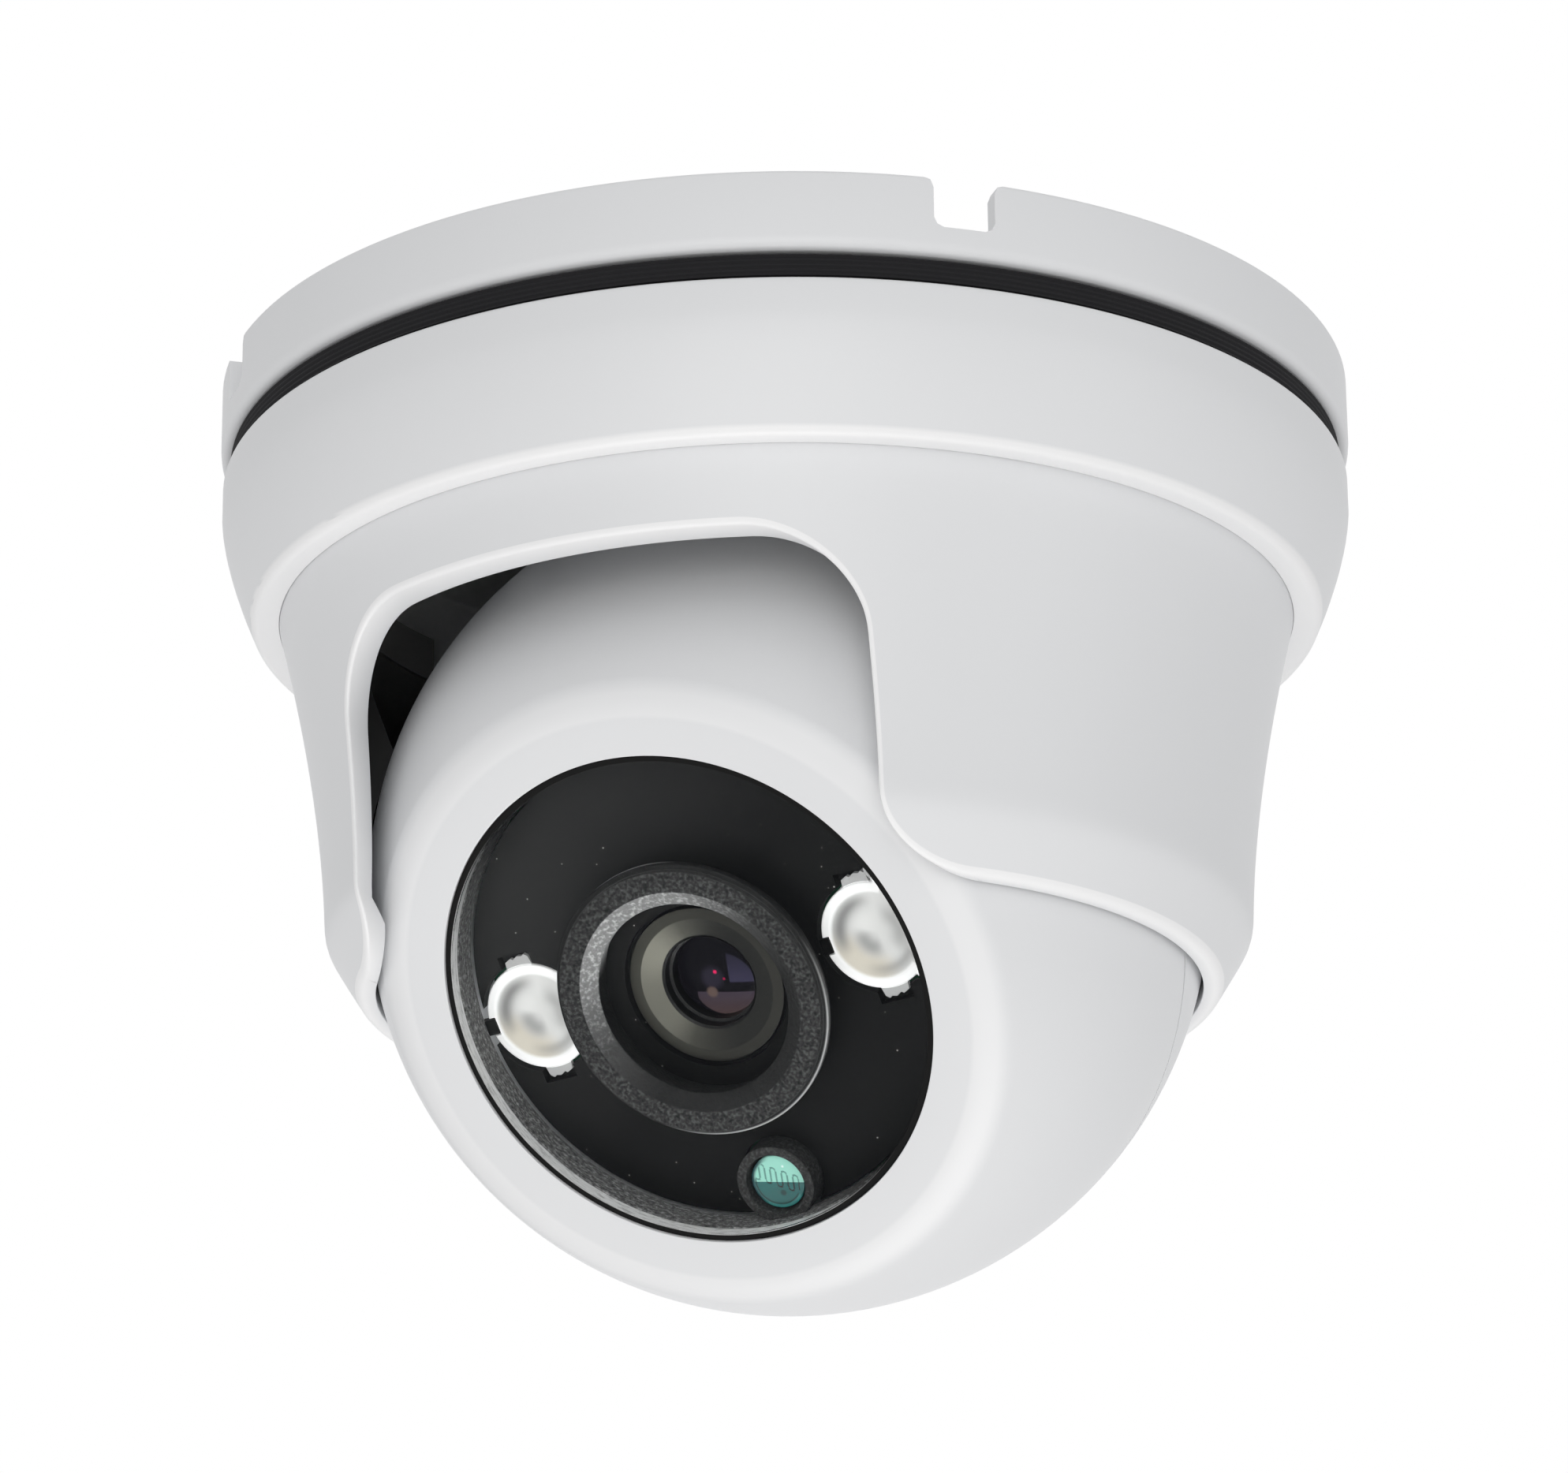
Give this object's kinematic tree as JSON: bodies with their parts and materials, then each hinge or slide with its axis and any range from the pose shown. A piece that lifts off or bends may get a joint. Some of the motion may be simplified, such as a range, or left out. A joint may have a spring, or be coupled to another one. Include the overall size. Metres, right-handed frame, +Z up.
{
  "type": "dome security camera",
  "caption": "Ceiling-mounted turret dome camera: base, twist-on trim ring, panning collar, and a tilting ball with lens, infrared lamps and light sensor behind a flat window.",
  "frame": {"origin": "centre of the base in the plane of the ceiling that it is screwed to", "axes": "+Z up out of the ceiling, -Y to the front, where the collar's notch and the window are, +X to the right as one faces the same way as the camera's back"},
  "size_m": [0.0948, 0.0948, 0.0781],
  "materials": {
    "white_shell": "satin white, finely grained",
    "black_rubber": "matt black",
    "black_plastic": "black",
    "window": "clear and polished",
    "lens_metal": "dark anodised",
    "optical_glass": "coated",
    "lamp_lens": "frosted",
    "teal_filter": "tinted",
    "red_filter": "tinted",
    "circuit_board": "solder mask",
    "chip": "moulded",
    "cream_plastic": "moulded",
    "brass": "turned",
    "steel": "plated",
    "copper_wire": "enamelled winding"
  },
  "bodies": {
    "base": {"mounting_base": "white_shell", "base_gasket": "black_rubber", "pan_washer": "black_plastic", "cable_grommet": "black_rubber"},
    "trim": {"trim_ring": "white_shell"},
    "collar": {"collar": "white_shell", "ball_cradle_left": "black_plastic", "ball_cradle_right": "black_plastic"},
    "gland": {"swivel_gland": "black_plastic", "gland_clip": "steel", "cable_seal": "black_rubber"},
    "filter": {"filter_carrier": "black_plastic", "ir_cut_pane": "red_filter", "clear_pane": "window"},
    "ball": {"ball_front_shell": "white_shell", "ball_rear_shell": "white_shell", "shell_seal": "black_rubber", "window_seal": "black_rubber", "lens_hood": "black_rubber", "light_sensor_sleeve": "black_rubber", "mask_plate": "black_plastic", "lens_holder": "black_plastic", "window_glass": "window", "lens_barrel": "lens_metal", "lens_front_element": "optical_glass", "lens_rear_element": "optical_glass", "lamp_lens_left": "lamp_lens", "lamp_lens_right": "lamp_lens", "light_sensor_filter": "teal_filter", "sensor_board": "circuit_board", "lamp_board": "circuit_board", "image_sensor": "chip", "processor_chip": "chip", "cable_connector": "cream_plastic", "lamp_emitter_left": "cream_plastic", "lamp_emitter_right": "cream_plastic", "light_sensor": "cream_plastic", "standoff_1": "brass", "standoff_2": "brass", "standoff_3": "brass", "standoff_4": "brass", "holder_screw_1": "steel", "holder_screw_2": "steel", "shell_screw_1": "steel", "shell_screw_2": "steel", "shell_screw_3": "steel", "board_screw_1": "steel", "board_screw_2": "steel", "board_screw_3": "steel", "board_screw_4": "steel", "filter_solenoid": "copper_wire"}
  },
  "joints": [
    {"name": "trim_twist", "type": "hinge", "parent": "base", "child": "trim", "pos_m": [0, 0, 0], "axis": [0, 0, 1], "range_deg": [0, 30]},
    {"name": "pan", "type": "hinge", "parent": "base", "child": "collar", "pos_m": [0, 0, 0], "axis": [0, 0, 1], "range_deg": [-175, 175]},
    {"name": "tilt", "type": "hinge", "parent": "collar", "child": "gland", "pos_m": [0, 0, -0.04349], "axis": [1, 0, 0], "range_deg": [-23, 52]},
    {"name": "roll", "type": "hinge", "parent": "gland", "child": "ball", "pos_m": [0, 0, -0.04349], "axis": [0, -0.788, -0.6157], "range_deg": [-175, 175]},
    {"name": "filter_slide", "type": "slide", "parent": "ball", "child": "filter", "axis": [0.9976, -0.0429, 0.055], "range_m": [0, 0.006]}
  ]
}
